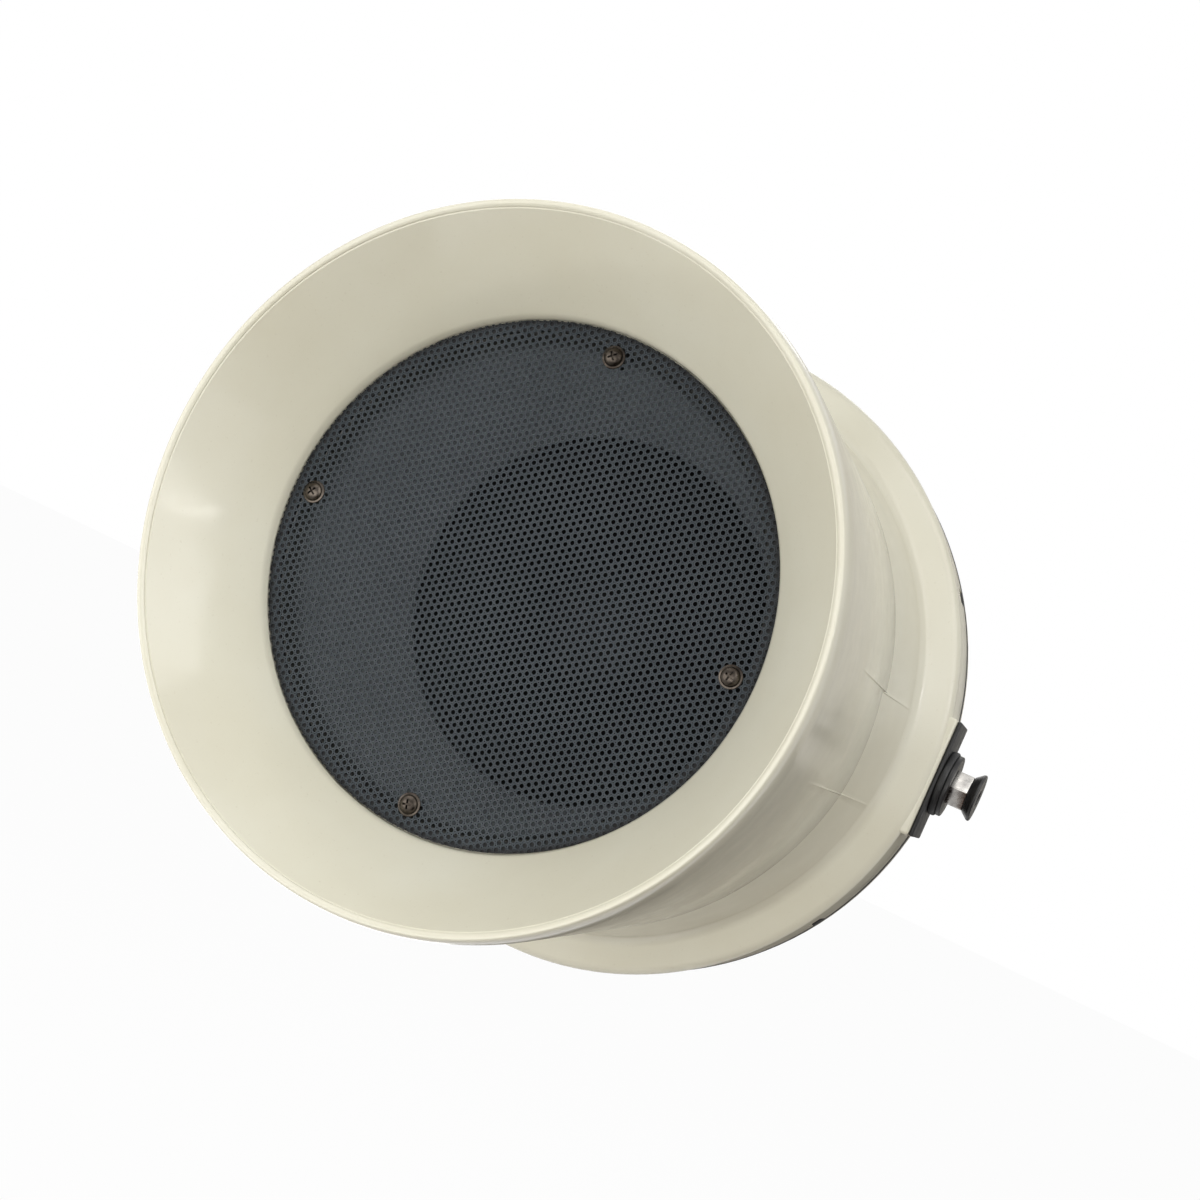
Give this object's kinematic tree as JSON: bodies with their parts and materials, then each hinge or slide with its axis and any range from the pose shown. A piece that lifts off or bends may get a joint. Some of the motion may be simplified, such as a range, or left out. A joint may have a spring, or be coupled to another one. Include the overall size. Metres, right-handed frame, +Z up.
{
  "type": "outdoor patio speaker",
  "caption": "Round outdoor loudspeaker with a flared plastic mouth, recessed perforated grille, waisted body, wide rear barrel and side posts for a tilt bracket.",
  "frame": {"origin": "where the tilt axis through the two side posts crosses the speaker's own axis", "axes": "-Y out of the mouth, X along the tilt axis through the side posts, +Z up"},
  "size_m": [0.31, 0.259, 0.2738],
  "materials": {
    "cream_plastic": "moulded, glossy",
    "grille_paint": "powder coat, satin",
    "bronze_screw": "dull plating",
    "zinc_screw": "zinc plating",
    "black_foam": "closed cell foam",
    "black_paint": "satin black",
    "zinc_plate": "zinc plating",
    "ferrite": "sintered",
    "cone_paper": "coated paper",
    "cap_film": "satin",
    "former_foil": "foil",
    "copper_wire": "enamelled wire",
    "black_rubber": "moulded",
    "spider_cloth": "impregnated cloth",
    "terminal_board": "laminate",
    "terminal_plastic": "moulded",
    "red_sleeve": "sleeve",
    "black_sleeve": "sleeve",
    "gland_plastic": "moulded",
    "insert_brass": "turned",
    "post_steel": "stainless",
    "black_plastic": "moulded"
  },
  "bodies": {
    "cabinet": {"housing": "cream_plastic", "rear_cover": "cream_plastic", "grille": "grille_paint", "grille_screws": "bronze_screw", "grille_pad_ring": "black_foam", "unit_gasket": "black_foam", "basket": "black_paint", "unit_screws": "zinc_screw", "top_plate": "zinc_plate", "magnet": "ferrite", "yoke": "zinc_plate", "surround": "black_rubber", "spider": "spider_cloth", "unit_terminals": "terminal_board", "terminal_block": "terminal_plastic", "lead_red": "red_sleeve", "lead_black": "black_sleeve", "cover_seal": "black_rubber", "cover_screws": "zinc_screw", "gland_body": "gland_plastic", "gland_locknut": "gland_plastic", "gland_nut": "gland_plastic", "gland_seal": "black_rubber", "pivot_inserts": "insert_brass", "pivot_pads": "black_rubber", "pivot_cushions": "black_rubber", "pivot_washers": "black_paint", "pivot_posts": "post_steel", "pivot_collars": "black_plastic"},
    "cone_assembly": {"cone": "cone_paper", "dust_cap": "cap_film", "coil_former": "former_foil", "voice_coil": "copper_wire"}
  },
  "joints": [
    {"name": "cone_travel", "type": "slide", "parent": "cabinet", "child": "cone_assembly", "axis": [0, -1, 0], "range_m": [-0.003, 0.003], "stiffness_N_per_m": 1500, "deforming": ["surround", "spider"]}
  ]
}
